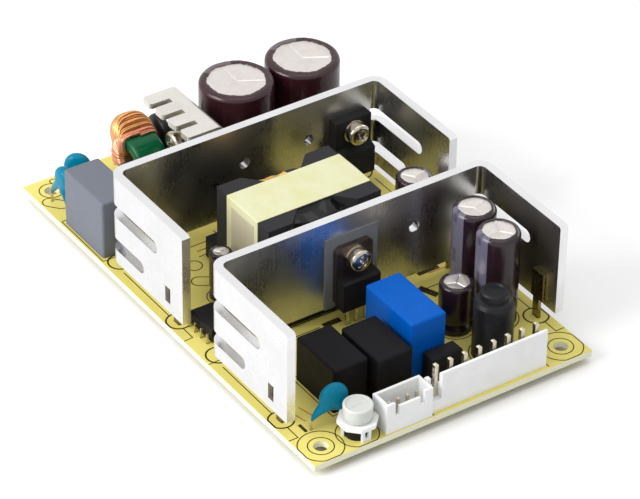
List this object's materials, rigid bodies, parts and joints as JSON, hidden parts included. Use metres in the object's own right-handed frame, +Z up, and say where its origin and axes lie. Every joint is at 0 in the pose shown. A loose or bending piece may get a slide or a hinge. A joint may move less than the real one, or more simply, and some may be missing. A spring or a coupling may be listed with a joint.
{
  "type": "open-frame power supply",
  "caption": "Open-frame AC-DC power supply on a printed board with folded aluminium heatsinks, mains filter, transformer, output filter, pin headers and an adjusting knob",
  "frame": {"origin": "centre of the footprint, at the height of the trimmed solder tips under the board", "axes": "+X along the board towards the output pins, +Y across the board towards the tall output capacitors, +Z up off the component side"},
  "size_m": [0.127, 0.0762, 0.0328],
  "materials": {
    "solder_mask_board": "pale yellow-green laminate with a dark legend",
    "solder": "dull bright solder",
    "tinned_lead": "tinned wire",
    "bare_aluminium": "smooth rolled aluminium sheet",
    "bracket_aluminium": "matt aluminium sheet",
    "tinned_steel": "tinned spring sheet",
    "nickel_steel": "bright nickel plate",
    "device_moulding": "black moulding compound",
    "device_tab": "dull plated copper",
    "insulator_grey": "grey silicone sheet",
    "capacitor_can": "drawn aluminium with a scored vent",
    "brown_sleeve": "shrunk maroon-brown sleeve",
    "dark_sleeve": "shrunk dark purple-grey sleeve",
    "ferrite": "ground ferrite",
    "bobbin_moulding": "black phenolic",
    "winding_tape": "wrinkled dark tape over the wire",
    "yellow_tape": "pale yellow polyester tape",
    "green_coating": "thick green coating",
    "enamelled_copper": "enamelled copper wire",
    "grey_case": "moulded grey case",
    "blue_case": "moulded blue case",
    "black_case": "moulded black case",
    "blue_dip": "blue dipped coating",
    "dark_dip": "black dipped coating",
    "black_shrink": "black shrunk sleeve",
    "fuse_ceramic": "off-white ceramic",
    "fuse_cap": "nickel cap",
    "white_nylon": "natural white nylon",
    "tinned_brass": "tinned brass pin",
    "clear_grey_plastic": "milky grey plastic"
  },
  "bodies": {
    "board_assembly": {"circuit_board": "solder_mask_board", "solder_joints": "solder", "clip_joints": "solder", "component_leads": "tinned_lead", "primary_heatsink": "bare_aluminium", "secondary_heatsink": "bare_aluminium", "finned_bracket": "bracket_aluminium", "heatsink_clips": "tinned_steel", "fixing_screws": "nickel_steel", "spring_washers": "nickel_steel", "flat_washers": "nickel_steel", "bridge_rectifier": "device_moulding", "switching_transistor": "device_moulding", "rectifier_diode_body": "device_moulding", "control_ic": "device_moulding", "regulator_module": "device_moulding", "rectifier_diode_tab": "device_tab", "insulating_pad": "insulator_grey", "bulk_capacitor_1_can": "capacitor_can", "bulk_capacitor_2_can": "capacitor_can", "output_capacitor_1_can": "capacitor_can", "output_capacitor_2_can": "capacitor_can", "output_capacitor_3_can": "capacitor_can", "bias_capacitor_can": "capacitor_can", "snubber_capacitor_can": "capacitor_can", "bulk_capacitor_1_sleeve": "brown_sleeve", "bulk_capacitor_2_sleeve": "brown_sleeve", "output_capacitor_1_sleeve": "dark_sleeve", "output_capacitor_2_sleeve": "dark_sleeve", "output_capacitor_3_sleeve": "dark_sleeve", "bias_capacitor_sleeve": "dark_sleeve", "snubber_capacitor_sleeve": "dark_sleeve", "transformer_core": "ferrite", "transformer_bobbin": "bobbin_moulding", "choke_base": "bobbin_moulding", "trimmer_base": "bobbin_moulding", "transformer_winding": "winding_tape", "transformer_tape": "yellow_tape", "choke_core": "green_coating", "choke_winding_1": "enamelled_copper", "choke_winding_2": "enamelled_copper", "x_capacitor": "grey_case", "blue_film_capacitor": "blue_case", "black_film_capacitor_1": "black_case", "black_film_capacitor_2": "black_case", "y_capacitor_1": "blue_dip", "y_capacitor_2": "blue_dip", "disc_capacitor": "blue_dip", "thermistor": "dark_dip", "output_choke": "black_shrink", "fuse_tube": "fuse_ceramic", "fuse_caps": "fuse_cap", "output_header_housing": "white_nylon", "input_header_housing": "white_nylon", "control_header_housing": "white_nylon", "trimmer_frame": "white_nylon", "output_header_pins": "tinned_brass", "input_header_pins": "tinned_brass", "control_header_pins": "tinned_brass"},
    "adjusting_knob": {"trimmer_knob": "clear_grey_plastic"}
  },
  "joints": [
    {"name": "trimmer_turn", "type": "hinge", "parent": "board_assembly", "child": "adjusting_knob", "pos_m": [0.059, -0.0237, 0.008], "axis": [0, 0, 1], "range_deg": [-120, 120]}
  ]
}
